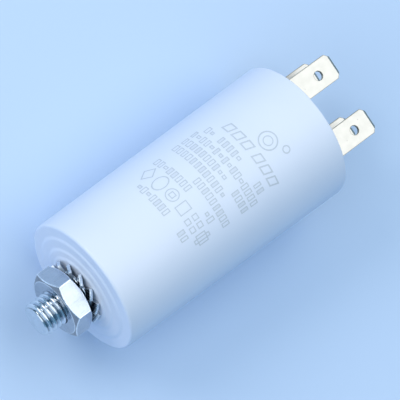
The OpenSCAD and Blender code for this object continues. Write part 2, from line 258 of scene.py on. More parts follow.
class Board:  # a material and its nodes
    def __init__(self, name):
        self.material = bpy.data.materials.new(name)
        self.material.use_nodes = True
        self.tree = self.material.node_tree
        self.tree.nodes.clear()

    def add(self, kind, settings=None, inputs=None, output=0):
        node = self.tree.nodes.new("ShaderNode" + kind)
        for key, value in (settings or {}).items():
            setattr(node, key, value)
        for key, value in (inputs or {}).items():
            if isinstance(value, Wire):
                self.tree.links.new(value.socket, node.inputs[key])
            else:
                node.inputs[key].default_value = value
        return None if output is None else Wire(self, node.outputs[output])

    def place(self, scale=(1, 1, 1)):  # Object coordinates in mm, stretched by the scale
        coordinates = self.add("TexCoord", output="Object")
        return self.add("Mapping", {"vector_type": "POINT"},
                        {"Vector": coordinates, "Scale": [s / mm for s in scale]})

    def axes(self):  # x, y and z in mm
        x = self.add("SeparateXYZ", {}, {"Vector": self.place()})
        return x, x.also("Y"), x.also("Z")

    def noise(self, size, detail=2, rough=0.5, scale=(1, 1, 1)):
        return self.add("TexNoise", {}, {"Vector": self.place(scale), "Scale": 1 / size,
                                         "Detail": detail, "Roughness": rough})

    def turnings(self, radius, scale, detail):  # noise that changes only with the radius
        return self.add("TexNoise", {"noise_dimensions": "1D"},
                        {"W": radius, "Scale": scale, "Detail": detail})

    def cells(self, scale):  # distance to the middle of the nearest cell
        return self.add("TexVoronoi", {"feature": "F1"}, {"Vector": self.place(), "Scale": scale})

    def rise(self, value, low, high):  # 0 below low, 1 above high
        return self.add("MapRange", {"clamp": True},
                        {"Value": value, "From Min": low, "From Max": high})

    def spots(self, spacing, radius, share):  # small round spots in some of the cells
        gap = self.cells(1 / spacing)
        chance = self.add("SeparateColor", {}, {"Color": gap.also("Color")})
        return (gap < radius / spacing) & (chance < share)

    def blend(self, factor, first, second):  # a colour is another blend or red, green and blue
        first, second = (c if isinstance(c, Wire) else (*c, 1) for c in (first, second))
        return self.add("Mix", {"data_type": "RGBA", "clamp_factor": True},
                        {0: factor, 6: first, 7: second}, output=2)

    def bump(self, height, depth):  # depth in mm
        return self.add("Bump", {}, {"Height": height, "Distance": depth * mm, "Strength": 1})

    def finish(self, shade, rough, normal=None, metallic=0):  # the one shader, and its material
        inputs = {"Base Color": shade, "Roughness": rough, "Metallic": metallic}
        if normal:
            inputs["Normal"] = normal
        shader = self.add("BsdfPrincipled", {}, inputs, output="BSDF")
        self.add("OutputMaterial", {}, {"Surface": shader}, output=None)
        return self.material


def hypot(u, v):
    return (u * u + v * v).maths("SQRT")


def hardPlastic(b, piece):  # colour, roughness and grain of moulded plastic
    cloud = b.noise(9, detail=3)
    fine = b.noise(piece["grain"])
    smudge = b.rise(b.noise(5, detail=4, rough=0.6), 0.45, 0.75)
    hairlines = (b.noise(0.25, scale=(0.03, 1, 1)) > 0.64) & (smudge > 0.1)
    shade = b.blend(cloud, piece["light"], piece["dark"])
    rough = piece["rough"] + fine * 0.08 + smudge * 0.1 + hairlines * 0.08
    return shade, rough, fine * 0.6 + cloud * 2


def plated(b, piece):  # bright plating: cloudy colour, hairlines and small pits
    cloud = b.noise(2.2, detail=4)
    fine = b.noise(0.35)
    hairlines = (b.noise(0.15, scale=(0.04, 1, 1)) > 0.62) & (cloud > 0.45)
    pits = b.spots(piece["pitSpacing"], 0.09, 0.3)
    shade = b.blend(b.rise(cloud, 0.3, 0.7), piece["light"], piece["dark"])
    shade = b.blend(pits * 0.7, shade, [part * 0.35 for part in piece["dark"]])
    rough = piece["rough"] + cloud * 0.1 + fine * 0.06 + hairlines * 0.12
    return shade, rough, fine * 0.25 + cloud * 0.6 - pits


def tinPlated(b, piece):  # satin tin with fine lines along the strip and a few dark specks
    cloud = b.noise(1.8, detail=4)
    lines = b.noise(0.25, scale=(0.06, 1, 1))
    specks = b.spots(1.3, 0.1, 0.4)
    shade = b.blend(b.rise(cloud, 0.35, 0.7), piece["light"], piece["dark"])
    shade = b.blend(specks * 0.55, shade, (0.2, 0.17, 0.12))
    rough = piece["rough"] + cloud * 0.06 + lines * 0.08
    return shade, rough, lines * 0.4 + cloud * 0.5 - specks * 0.6


can = {
    "sides": 192,
    "baseRadius": 16,
    "ringX": 0.9,  # the flat outer ring, a little behind the seat at 0
    "landWidth": 2.31,  # flat part of the outer ring
    "stepWidths": (2.1, 1.35),  # flat parts between the steps, going inwards
    "riserRun": 0.6,
    "riserHeight": 0.3,
    "baseRound": (0.65, 8),  # width and segments
    "stepRound": (0.3, 4),
    "rimRound": (0.3, 4),
    "innerRimRound": (0.1, 2),
    "rimWidth": 0.84,
    "lidDepth": 3,  # from the rim to the ledge that the lid sits on
    "ledgeWidth": 0.5,
    "floorX": 5.3,
    "floorRadius": 13.77,
    "floorChamfer": 1,
    "boreRadius": 4.02,
    "boreSides": 96,
    "headGap": 0.02,  # the floor stands off the stud's head by this much
    "light": (0.792, 0.808, 0.873),
    "dark": (0.762, 0.782, 0.858),
    "grain": 0.3,
    "rough": 0.36,
    "dust": (0.35, 0.38, 0.42),
}
rimX = cadRange("case", 0)[1]
mouthRadius = cadRange("case", 2)[1]


def shapeMouth(obj):  # rim, ledge for the lid, then the wall inside down to the floor
    c = can
    ledgeX = rimX - c["lidDepth"]
    wallEnd = c["floorX"] + c["floorChamfer"]
    innerRadius = mouthRadius - c["rimWidth"] - c["ledgeWidth"]
    pickEnd(obj, rimX, 1)
    widen(mouthRadius / c["baseRadius"], rimX)
    inset(c["rimWidth"])
    extrude(x=-c["lidDepth"])
    inset(c["ledgeWidth"])
    extrude(x=wallEnd - ledgeX)
    widen((c["floorRadius"] + c["floorChamfer"]) / innerRadius, wallEnd)
    inset(c["floorChamfer"], -c["floorChamfer"])
    editDone()


def shapeBase(obj):  # three steps that rise to the seat
    c = can
    pickEnd(obj, c["ringX"], -1)
    for width in (c["landWidth"] + c["riserRun"], *c["stepWidths"]):
        inset(width)
        inset(c["riserRun"], c["riserHeight"])
    editDone()


def roundCan(obj):
    c = can
    roundRings(obj, *c["baseRound"], (c["ringX"], c["baseRadius"]))
    roundRings(obj, *c["rimRound"], (rimX, mouthRadius))
    roundRings(obj, *c["innerRimRound"], (rimX, mouthRadius - c["rimWidth"]))
    steps = []
    radius = c["baseRadius"] - c["landWidth"] - c["riserRun"]
    x = c["ringX"]
    for width in (*c["stepWidths"], 0):
        steps += [(x, radius), (x - c["riserHeight"], radius - c["riserRun"])]
        radius -= c["riserRun"] + width
        x -= c["riserHeight"]
    roundRings(obj, *c["stepRound"], *steps)


def makeCan():
    c, s = can, stud
    obj = addRod("can", c["baseRadius"], c["ringX"], rimX, c["sides"])
    shapeMouth(obj)
    shapeBase(obj)
    roundCan(obj)
    headEnd = s["headX"] + s["headHeight"]
    carve(obj, addRod("bore", c["boreRadius"], -spare, s["headX"] + s["sink"], c["boreSides"]))
    carve(obj, hexRod("headRoom", s["headAcross"] + 2 * c["headGap"], s["headX"] - c["headGap"],
                      headEnd + c["headGap"], s["headTurn"]))
    smooth(obj)
    return obj


canPrint = {  # plain boxes and shapes
    "ink": (0.565, 0.588, 0.625),
    "degree": 0.29,  # length of one degree round the can
    "stroke": 0.26,
    "firstAngle": 34,  # where the rows start, in degrees from +Y towards +Z
    "cellAngle": 4.9,
    "rowPitch": 2.7,
    "halfWidths": (0.31, 0.43),  # narrowest and widest box
    "halfHeight": 0.87,
    "smallHalfHeight": 0.34,
    "smallShare": 0.12,
    "shadedShare": 0.5,
    "shading": 0.4,  # how strongly the shaded boxes are filled
    # place along the can, then the first cell and the number of cells of each block
    "rows": {27.6: ((0, 8), (12, 2)), 30.3: ((7, 9),), 33.0: ((0, 12),), 35.7: ((0, 10), (12, 4)),
             38.4: ((0, 16),), 41.1: ((1, 2), (4, 5), (13, 2))},
    "lastRow": {20.2: ((2, 7), (12, 2))},
    "slantedX": 44.75,
    "slanted": ((46.5, 3), (79.5, 3)),  # first angle and number of shapes
    "slantedPitch": 10,
    "slantedHalf": (0.9, 1.05),  # half width and half height
    "slantedWeight": 1.4,  # how wide their line is, in strokes
    "slant": 0.3,
    "signsX": 23.9,
    "diamond": (41, 1.35, 2.05),  # angle, half width and half height
    "oval": (54.5, 1.45, 0.7),  # angle, half width, and its width over its height
    "boxes": ((68, 0.6, 0.6), (81, 1.1, 1.5), (108, 1.1, 1.2), (108, 0.4, 2)),
    "fourBoxes": (95, 0.6, 1, 1.05),  # angle, half width, and how far they stand from the middle
    # angle, place along the can, radius, and how wide the line is, in strokes
    "rings": ((68, 23.9, 1.5, 1), (78, 49.1, 2.15, 1.3), (78, 49.1, 1.1, 1),
              (91.3, 51.4, 0.82, 1.2)),
}


def boxOutline(u, v, wide, high, stroke):
    return abs((abs(u) - wide) | (abs(v) - high)) < stroke / 2


def roundOutline(u, v, radius, stroke):
    return abs(hypot(u, v) - radius) < stroke / 2


def printedRows(b, x, angle, rows):  # boxes of changing width, some of them shaded, one to a cell
    p = canPrint
    pitch, cellAngle = p["rowPitch"], p["cellAngle"]
    firstX = min(rows)
    row = ((x - firstX) / pitch).maths("ROUND")
    cell = ((angle - p["firstAngle"]) / cellAngle).maths("FLOOR")
    v = x - firstX - row * pitch
    u = (angle - p["firstAngle"] - (cell + 0.5) * cellAngle) * p["degree"]
    seed = b.add("CombineXYZ", {}, {"X": cell, "Y": row, "Z": firstX})
    chances = b.add("TexWhiteNoise", {"noise_dimensions": "3D"}, {"Vector": seed}, output="Color")
    chance = b.add("SeparateColor", {}, {"Color": chances}, output="Red")
    narrow, widest = p["halfWidths"]
    wide = narrow + chance * (widest - narrow)
    tall = chance.also("Blue") > p["smallShare"]
    high = p["smallHalfHeight"] + tall * (p["halfHeight"] - p["smallHalfHeight"])
    shaded = (abs(u) < wide) & (abs(v) < high) & (chance.also("Green") > p["shadedShare"])
    shown = []
    for rowX, blocks in rows.items():
        for first, count in blocks:
            middle = p["firstAngle"] + (first + count / 2) * cellAngle
            inRow = abs(x - rowX) < pitch / 2
            shown.append(inRow & (abs(angle - middle) < count / 2 * cellAngle))
    return (boxOutline(u, v, wide, high, p["stroke"]) | shaded * p["shading"]) & sum(shown)


def printedSigns(x, angle):  # plain shapes side by side, and rings
    p = canPrint
    stroke = p["stroke"]
    v = x - p["signsX"]

    def across(middle):
        return (angle - middle) * p["degree"]
    middle, wide, high = p["diamond"]
    signs = abs(abs(across(middle)) / wide + abs(v) / high - 1) < stroke / 2
    middle, wide, slimness = p["oval"]
    signs = signs | roundOutline(across(middle), v * slimness, wide, stroke)
    for middle, wide, high in p["boxes"]:
        signs = signs | boxOutline(across(middle), v, wide, high, stroke)
    middle, half, apartU, apartV = p["fourBoxes"]
    signs = signs | boxOutline(abs(across(middle)) - apartU, abs(v) - apartV, half, half, stroke)
    for middle, ringX, radius, weight in p["rings"]:
        signs = signs | roundOutline(across(middle), x - ringX, radius, stroke * weight)
    return signs


def slantedShapes(x, angle):
    p = canPrint
    v = x - p["slantedX"]
    pitch = p["slantedPitch"]
    stroke = p["stroke"] * p["slantedWeight"]
    shapes = []
    for start, count in p["slanted"]:
        cell = ((angle - start) / pitch).maths("FLOOR")
        u = (angle - start - (cell + 0.5) * pitch) * p["degree"] - v * p["slant"]
        inSpan = abs(angle - start - count / 2 * pitch) < count / 2 * pitch
        shapes.append(boxOutline(u, v, *p["slantedHalf"], stroke) & inSpan)
    return sum(shapes)


def makeCanPlastic():
    b = Board("canPlastic")
    x, y, z = b.axes()
    angle = z.maths("ARCTAN2", y) * (180 / math.pi)
    marks = printedSigns(x, angle) | slantedShapes(x, angle)
    for rows in (canPrint["rows"], canPrint["lastRow"]):
        marks = marks | printedRows(b, x, angle, rows)
    outside = hypot(y, z) > can["baseRadius"] - 0.2
    patchy = b.rise(b.noise(0.5, detail=3), 0.2, 0.5)
    ink = marks * outside * (0.65 + 0.35 * patchy)
    shade, rough, grain = hardPlastic(b, can)
    dust = b.spots(7, 0.1, 0.3)
    shade = b.blend(dust * 0.35, shade, can["dust"])
    shade = b.blend(ink, shade, canPrint["ink"])
    return b.finish(shade, rough - ink * 0.06, b.bump(grain - ink * 0.8, 0.012))


stud = {
    "radius": 4,
    "pitch": 1.25,
    "rootRadius": 3.26,
    # places up one flank, as parts of half a pitch and of the thread's depth
    "flank": ((-0.86, 0.04), (-0.76, 0.16), (-0.42, 0.8), (-0.32, 0.94), (-0.16, 1)),
    "stepsPerTurn": 72,
    "threadLead": 0.5,  # the thread is made this much longer, and its end is then cut
    "blankSides": 96,
    "crestGap": 0.01,
    "endChamfer": 0.6,
    "neckRadius": 3.594,  # inside the nut, where both threads meet
    "neckInset": 0.4,
    "neckPast": 0.02,
    "headAcross": 13,
    "headX": 1.9,
    "headHeight": 2.4,
    "headTurn": 30,
    "sink": 0.5,  # how far the shank goes into the head
    "light": (0.72, 0.77, 0.82),
    "dark": (0.64, 0.7, 0.76),
    "rough": 0.06,
    "pitSpacing": 0.9,
    # painted shade in the thread roots
    "rootPaintedShade": (0.16, 0.18, 0.2),
    # painted highlight on the thread crests
    "crestPaintedHighlight": (0.86, 0.89, 0.92),
}
studEnd = cadRange("stud", 0)[0]
nutFront, nutBack = cadRange("hex_nut", 0)


def addThread(name, start, end):
    s = stud
    bpy.ops.object.select_all(action="DESELECT")
    bpy.ops.mesh.primitive_plane_add(size=mm)
    obj = settle(name)
    bpy.ops.object.mode_set(mode="EDIT")
    bpy.ops.mesh.select_mode(type="VERT")
    bpy.ops.mesh.select_all(action="SELECT")
    bpy.ops.mesh.merge(type="CENTER")
    half = s["pitch"] / 2
    tooth = [(-half, 0)] + [(along * half, rise) for along, rise in s["flank"]]
    tooth += [(-along * half, rise) for along, rise in reversed(s["flank"])]
    turns = math.ceil((end - start) / s["pitch"]) + 3
    x, radius = 0, 0
    for turn in range(turns):
        for along, rise in tooth:
            nextX = start + (turn - 1) * s["pitch"] + along
            nextRadius = s["rootRadius"] + rise * (s["radius"] - s["rootRadius"])
            if turn == 0 and along == -half:
                bpy.ops.transform.translate(value=(nextX * mm, nextRadius * mm, 0))
            else:
                extrude(x=nextX - x, y=nextRadius - radius)
            x, radius = nextX, nextRadius
    editDone()
    useModifier(obj, "SCREW", axis="X", screw_offset=s["pitch"] * mm, steps=s["stepsPerTurn"],
                render_steps=s["stepsPerTurn"], use_merge_vertices=True, merge_threshold=0.001 * mm)
    cleanUp(obj)
    for x, sign in ((start, -1), (end, 1)):
        cutOff(obj, (x, 0, 0), (sign, 0, 0))
    cleanUp(obj)
    return obj


def makeStud():
    s = stud
    shankEnd = s["headX"] + s["sink"]
    blankRadius = s["radius"] + s["crestGap"]
    obj = addThread("threadedStud", studEnd - s["threadLead"], shankEnd)
    blank = addRod("blank", blankRadius, studEnd, shankEnd, s["blankSides"])
    roundRings(blank, s["endChamfer"], 1, (studEnd, blankRadius))
    neck = addRod("neckRing", s["radius"] + spare, nutFront + s["neckInset"],
                  nutBack + s["neckPast"], s["blankSides"])
    carve(neck, addRod("neck", s["neckRadius"], nutFront - spare, nutBack + spare, s["blankSides"]))
    carve(blank, neck)
    carve(obj, blank, "INTERSECT")
    cleanUp(obj, 0.005)
    pick(obj, "VERT", lambda vert: len(vert.link_edges) == 2)  # the tips of slivers
    bpy.ops.mesh.dissolve_verts()
    editDone()
    headEnd = s["headX"] + s["headHeight"]
    carve(obj, hexRod("head", s["headAcross"], s["headX"], headEnd, s["headTurn"]), "UNION")
    smooth(obj)
    return obj


def makeStudZinc():
    s = stud
    b = Board("studZinc")
    x, y, z = b.axes()
    shade, rough, grain = plated(b, s)
    radius = hypot(y, z)
    threaded = (x > studEnd + s["endChamfer"] * 0.2) & (x < s["headX"])
    # painted shade in the thread roots
    root = (1 - b.rise(radius, s["rootRadius"] + 0.03, s["rootRadius"] + 0.2)) & threaded
    # painted highlight on the thread crests
    crest = b.rise(radius, s["radius"] - 0.08, s["radius"] - 0.02)
    streaks = b.noise(3, scale=(14, 1, 1))
    shade = b.blend(root * 0.6, shade, s["rootPaintedShade"])
    shade = b.blend(crest * 0.6, shade, s["crestPaintedHighlight"])
    return b.finish(shade, rough + streaks * 0.07, b.bump(grain + streaks * 0.6, 0.012), 1)


nut = {
    "across": 14,
    "cornerAngle": 3,
    "faceRadius": 6.6,
    "chamferAngle": 30,
    "chamferSides": 144,
    "chamferSpare": 0.4,
    "boreRadius": 3.644,
    "boreSides": 96,
    "mouthRadius": 4.2,
    "edgeRound": 0.1,
    "edgeAngle": 22,
    "light": (0.54, 0.57, 0.62),
    "dark": (0.48, 0.515, 0.57),
    "rough": 0.1,
    "pitSpacing": 0.9,
    # width and colour of the painted highlight along the nut's edges and corners
    "highlightBand": 0.17,
    "edgeHighlight": (0.95, 0.97, 0.99),
    # painted dark reflection on the chamfer cones
    "chamferDarkReflection": (0.17, 0.165, 0.17),
}


def makeNut():
    n = nut
    obj = hexRod("nut", n["across"], nutFront, nutBack, n["cornerAngle"])
    outer = cornerRadius(n["across"]) + n["chamferSpare"]
    drop = (outer - n["faceRadius"]) * math.tan(math.radians(n["chamferAngle"]))
    cones = addRod("cones", outer, nutFront + drop, nutBack - drop, n["chamferSides"])
    for x, sign in ((nutFront, -1), (nutBack, 1)):
        pickEnd(cones, x - sign * drop, sign)
        extrude(x=sign * drop)
        widen(n["faceRadius"] / outer, x)
        editDone()
    carve(obj, cones, "INTERSECT")
    depth = n["mouthRadius"] - n["boreRadius"]
    spool = addRod("spool", n["boreRadius"], nutFront + depth, nutBack - depth, n["boreSides"])
    for x, sign in ((nutFront + depth, -1), (nutBack - depth, 1)):
        pickEnd(spool, x, sign)
        extrude(x=sign * (depth + spare))
        widen((n["mouthRadius"] + spare) / n["boreRadius"], x)
        editDone()
    carve(obj, spool)
    roundEdges(obj, n)
    smooth(obj)
    return obj


def makeNutZinc():
    n = nut
    b = Board("nutZinc")
    x, y, z = b.axes()
    shade, rough, grain = plated(b, n)
    band = n["highlightBand"]
    radius = hypot(y, z)
    nearSide = []
    for turn in (30, 90, 150):  # from a corner to the flats
        facing = math.radians(n["cornerAngle"] + turn)
        nearSide.append(abs(y * math.cos(facing) + z * math.sin(facing)) > n["across"] / 2 - band)
    sidesMet = sum(nearSide)  # 1 on a flat and 2 on a corner
    slope = (radius - n["faceRadius"]) * math.tan(math.radians(n["chamferAngle"]))
    endGap = (nutBack - nutFront) / 2 - abs(x - (nutFront + nutBack) / 2)  # from the nearer end
    # painted highlight along the nut's edges and corners, broken up by patchy noise
    edge = ((sidesMet > 0.5) & (abs(endGap - slope) < band * 0.8)) | (sidesMet > 1.5)
    edge = edge | ((abs(radius - n["faceRadius"]) < band / 2) & (endGap < band / 2))
    patchy = b.rise(b.noise(0.8, detail=3), 0.25, 0.6)
    chamfer = (abs(endGap - slope) < 0.06) & (radius > n["faceRadius"])  # the turned chamfer cones get a painted dark reflection, and are a little rougher
    shade = b.blend(chamfer * 0.6, shade, n["chamferDarkReflection"])
    shade = b.blend(edge * (0.4 + 0.55 * patchy), shade, n["edgeHighlight"])
    return b.finish(shade, rough + chamfer * 0.08, b.bump(grain, 0.02), 1)


washer = {
    "teeth": 12,
    "firstTooth": 13,  # degrees from +Y
    "boreRadius": 4.2,
    "ringRadius": 5.7,
    "outerRadius": 7.5,
    "thickness": 0.7,
    "toothWidth": 2.6,
    "toothFoot": 0.2,  # a tooth starts this far inside the first radius of its twist
    # how far a tooth is twisted at each radius, in degrees
    "twists": ((5.1, 0), (5.4, 7), (5.75, 19), (6.2, 26), (6.8, 28.5), (7.9, 29.5)),
    "edgeRound": 0.07,
    "edgeAngle": 40,
    "ringSides": 120,
    "boreSides": 96,
    "outerSides": 180,
    "light": (0.58, 0.63, 0.68),
    "dark": (0.44, 0.49, 0.55),
    "rough": 0.14,
    "pitSpacing": 0.7,
    # painted highlight on the tooth flanks and cut ends
    "cutPaintedReflection": (0.9, 0.93, 0.96),
}
washerX = sum(cadRange("lock_washer", 0)) / 2


def makeTooth(low, high):  # one tooth along +Y, twisted as it goes outwards
    w = washer
    radius, twist = w["twists"][0]
    half = w["toothWidth"] / 2
    tooth = addBlock("tooth", (low, radius - w["toothFoot"], -half), (high, radius, half))
    pick(tooth, "FACE", lambda face: face.normal.y > 0.9)
    for nextRadius, nextTwist in w["twists"][1:]:
        extrude(y=nextRadius - radius)
        bpy.ops.transform.rotate(value=math.radians(nextTwist - twist), orient_axis="Y",
                                 center_override=(washerX * mm, 0, 0))
        radius, twist = nextRadius, nextTwist
    bpy.ops.mesh.select_all(action="SELECT")
    bpy.ops.mesh.quads_convert_to_tris()
    editDone()
    ends = addRod("toothEnds", w["outerRadius"], low - spare, high + spare, w["outerSides"])
    carve(tooth, ends, "INTERSECT")
    roundEdges(tooth, w)
    return tooth


def makeWasher():
    w = washer
    low = washerX - w["thickness"] / 2
    high = washerX + w["thickness"] / 2
    ring = addRod("washer", w["ringRadius"], low, high, w["ringSides"])
    carve(ring, addRod("washerBore", w["boreRadius"], low - spare, high + spare, w["boreSides"]))
    roundEdges(ring, w)
    tooth = makeTooth(low, high)
    for index in range(w["teeth"]):
        makeActive(tooth)
        bpy.ops.object.duplicate()
        copy = bpy.context.object
        turnOnAxis(copy, w["firstTooth"] + index * 360 / w["teeth"])
        carve(ring, copy, "UNION")
        cleanUp(ring, 0.001)
    bpy.data.objects.remove(tooth)
    smooth(ring)
    return ring


def makeWasherZinc():
    w = washer
    b = Board("washerZinc")
    x, y, z = b.axes()
    shade, rough, grain = plated(b, w)
    radius = hypot(y, z)
    turns = z.maths("ARCTAN2", y) / (2 * math.pi) - w["firstTooth"] / 360
    fromTooth = (turns * w["teeth"] + 0.5).maths("FRACT") - 0.5  # 0 at the middle of each tooth
    across = (fromTooth * (2 * math.pi / w["teeth"])).maths("SINE") * radius
    twist = math.radians(w["twists"][-1][1])
    across = across * math.cos(twist) - (x - washerX) * math.sin(twist)
    # painted highlight on the tooth flanks and cut ends, which are also rougher, with a torn bump
    flank = (abs(across) > w["toothWidth"] / 2 - 0.1) & (radius > w["ringRadius"] + 0.1)
    cut = b.rise(radius, w["outerRadius"] - 0.12, w["outerRadius"] - 0.04) | flank
    tear = b.noise(0.6, scale=(0.3, 3, 3))
    shade = b.blend(cut * 0.75, shade, w["cutPaintedReflection"])
    rough = rough + flank * 0.25 + cut * tear * 0.12
    return b.finish(shade, rough, b.bump(grain + cut * tear, 0.015), 1)


terminal = {
    "width": 6.3,
    "thickness": 0.8,
    "innerBend": 0.4,
    "bendSteps": 8,
    "tipCut": 1.1,
    "tipBevelDepth": 0.2,
    "tipBevelLength": 0.5,
    "holeDrop": 5,
    "holeRadius": 1.1,
    "rivetHole": 1.85,
    "holeSides": 64,
    "edgeRound": 0.06,
    "edgeAngle": 20,
    "light": (0.645, 0.6, 0.53),
    "dark": (0.605, 0.565, 0.495),
    "rough": 0.27,
    "cutBand": 0.13,
    # painted dark reflection along the cut edges
    "cutPaintedReflection": (0.33, 0.28, 0.2),
}
terminalRows = {name: sum(cadRange(name, 1)) / 2 for name in ("terminal_left", "terminal_right")}
rowY = terminalRows["terminal_left"]


def makeTerminal(name, node):
    t = terminal
    bottom, tip = cadRange(node, 0)
    yLow, yHigh = cadRange(node, 1)
    out = cadRange(node, 2)[1]
    y = terminalRows[node]
    bend = t["innerBend"] + t["thickness"]
    obj = addBlock(name, (bottom, yLow, 0), (bottom + t["thickness"], yHigh, out - bend))
    pick(obj, "FACE", lambda face: face.normal.z < -0.9)
    bpy.ops.mesh.delete(type="ONLY_FACE")
    editDone()
    pick(obj, "FACE", lambda face: face.normal.z > 0.9)
    bpy.ops.mesh.spin(steps=t["bendSteps"], angle=math.pi / 2, axis=(0, -1, 0),
                      center=((bottom + bend) * mm, y * mm, (out - bend) * mm))
    extrude(x=tip - t["tipBevelLength"] - bottom - bend)
    extrude(x=t["tipBevelLength"])
    slim = 1 - 2 * t["tipBevelDepth"] / t["thickness"]
    bladeZ = out - t["thickness"] / 2
    bpy.ops.transform.resize(value=(1, 1, slim), center_override=(0, 0, bladeZ * mm))
    editDone()
    useModifier(obj, "MIRROR", use_axis=(False, False, True), use_clip=True)
    for side, edge in ((1, yHigh), (-1, yLow)):
        cutOff(obj, (tip - t["tipCut"], edge, 0), (1, side, 0))
    cleanUp(obj)
    carve(obj, addRod("rivetHole", t["rivetHole"], bottom - spare, bottom + t["thickness"] + spare,
                      t["holeSides"], y))
    bpy.ops.object.select_all(action="DESELECT")
    bpy.ops.mesh.primitive_cylinder_add(
        vertices=t["holeSides"], radius=t["holeRadius"] * mm, depth=2 * (out + spare) * mm,
        location=((tip - t["holeDrop"]) * mm, y * mm, 0))
    carve(obj, settle("bladeHoles"))
    roundEdges(obj, t)
    smooth(obj)
    return obj


def makeTerminalTin():
    t = terminal
    b = Board("terminalTin")
    x, y = b.axes()[:2]
    shade, rough, grain = tinPlated(b, t)
    fromTip = cadRange("terminal_left", 0)[1] - x
    fromMiddle = abs(abs(y) - rowY)
    half = t["width"] / 2
    band = t["cutBand"]
    # painted dark reflection along the blade's sides, tip, corner cuts and hole, which are also
    # rougher
    cut = (fromMiddle > half - band) | (fromTip < band)
    cut = cut | (fromMiddle - fromTip > half - t["tipCut"] - band * 1.4)
    cut = cut | (hypot(fromTip - t["holeDrop"], fromMiddle) < t["holeRadius"] + band * 0.8)
    shade = b.blend(cut * 0.6, shade, t["cutPaintedReflection"])
    return b.finish(shade, rough + cut * 0.15, b.bump(grain, 0.02), 1)


lid = {
    "bottomX": 60.42,
    "sides": 144,
    "skirtRadius": 15.27,
    "skirtThickness": 1,
    "pocket": (0.4, 3.35, 5.5),  # depth, and half its size along Y and Z
    "edgeRound": 0.12,
    "edgeAngle": 40,
    "light": (0.68, 0.72, 0.79),
    "dark": (0.62, 0.66, 0.73),
    "grain": 0.2,
    "rough": 0.42,
    "moulding": {"Scale": 0.55, "Distortion": 3, "Detail": 3, "Detail Scale": 2.5},
}


def makeLid():
    d = lid
    low, high = cadRange("lid", 0)
    radius = cadRange("lid", 2)[1]
    obj = addRod("lidDisc", radius, d["bottomX"], high, d["sides"])
    pickEnd(obj, d["bottomX"], -1)
    inset(radius - d["skirtRadius"])
    extrude(x=low - d["bottomX"])
    inset(d["skirtThickness"])
    extrude(x=d["bottomX"] - low)
    editDone()
    depth, halfY, halfZ = d["pocket"]
    for y in terminalRows.values():
        inner = (high - depth, y - halfY, -halfZ)
        outer = (high + spare, y + halfY, halfZ)
        carve(obj, addBlock("pocket", inner, outer))
        carve(obj, addRod("rivetRoom", terminal["rivetHole"], d["bottomX"] - spare, high + spare,
                          terminal["holeSides"], y))
    roundEdges(obj, d)
    smooth(obj)
    return obj


def makeLidPlastic():
    b = Board("lidPlastic")
    shade, rough, grain = hardPlastic(b, lid)
    rings = b.add("TexWave", {"wave_type": "RINGS", "rings_direction": "X"},
                  {"Vector": b.place(), **lid["moulding"]})
    return b.finish(shade, rough + rings * 0.04, b.bump(grain + rings * 0.35, 0.015))


rivet = {
    "headRadius": 2.8,
    "headHeight": 0.6,
    "headRound": (0.34, 5),  # width and segments
    "shankRadius": 1.8,
    "boreRadius": 1.1,
    "rollRadius": 2.5,
    "rollHeight": 0.6,
    "sides": 72,
    "boreSides": 64,
    "edgeRound": 0.12,
    "edgeAngle": 40,
    "light": (0.66, 0.64, 0.58),
    "dark": (0.58, 0.56, 0.5),
    "rough": 0.26,
    "turnedShade": (0.42, 0.38, 0.3),
}


def makeRivet(name, node, y):
    r = rivet
    low, high = cadRange(node, 0)
    seat = high - r["headHeight"]
    obj = addRod(name, r["headRadius"], seat, high, r["sides"])
    pickEnd(obj, seat, -1)
    inset(r["headRadius"] - r["shankRadius"])
    extrude(x=low + r["rollHeight"] - seat)
    extrude()
    widen(r["rollRadius"] / r["shankRadius"], 0)
    extrude(x=-r["rollHeight"])
    editDone()
    roundRings(obj, *r["headRound"], (high, r["headRadius"]))
    carve(obj, addRod("rivetBore", r["boreRadius"], low - spare, high + spare, r["boreSides"]))
    roundEdges(obj, r)
    makeActive(obj)
    obj.location.y = y * mm
    bpy.ops.object.transform_apply(location=True)
    smooth(obj)
    return obj


def makeRivetTin():
    b = Board("rivetTin")
    y, z = b.axes()[1:]
    shade, rough, grain = tinPlated(b, rivet)
    turned = b.turnings(hypot(abs(y) - rowY, z), 9, 2)
    shade = b.blend(turned * 0.25, shade, rivet["turnedShade"])
    return b.finish(shade, rough + turned * 0.1, b.bump(grain + turned, 0.015), 1)


# The inner pieces keep their CAD shapes, and only get finishes.

lug = {
    "light": (0.62, 0.6, 0.53),
    "dark": (0.55, 0.52, 0.45),
    "rough": 0.32,
}


def makeLugTin():
    b = Board("lugTin")
    shade, rough, grain = tinPlated(b, lug)
    return b.finish(shade, rough, b.bump(grain, 0.02), 1)


lead = {
    "tin": (0.66, 0.66, 0.65),
    "copper": (0.6, 0.42, 0.3),
}


def makeLeadWire():
    b = Board("leadWire")
    drawn = b.noise(0.12, scale=(0.05, 1, 1))
    bare = b.rise(b.noise(1.5, detail=3), 0.55, 0.75)
    shade = b.blend(bare, lead["tin"], lead["copper"])
    return b.finish(shade, 0.25 + drawn * 0.15, b.bump(drawn, 0.01), 1)


sleeves = {
    "redSleeve": (0.42, 0.035, 0.025),
    "blueSleeve": (0.03, 0.05, 0.27),
}


def makeSleeve(name):  # soft insulating tube
    b = Board(name)
    cloud = b.noise(3, detail=3)
    ridges = b.noise(0.3, scale=(0.1, 1, 1))
    shade = b.blend(cloud, sleeves[name], [part * 0.75 + 0.01 for part in sleeves[name]])
    return b.finish(shade, 0.35 + cloud * 0.2, b.bump(ridges, 0.03))


joint = {
    "bright": (0.6, 0.62, 0.64),
    "frosted": (0.48, 0.5, 0.53),
    "flux": (0.36, 0.2, 0.06),
}


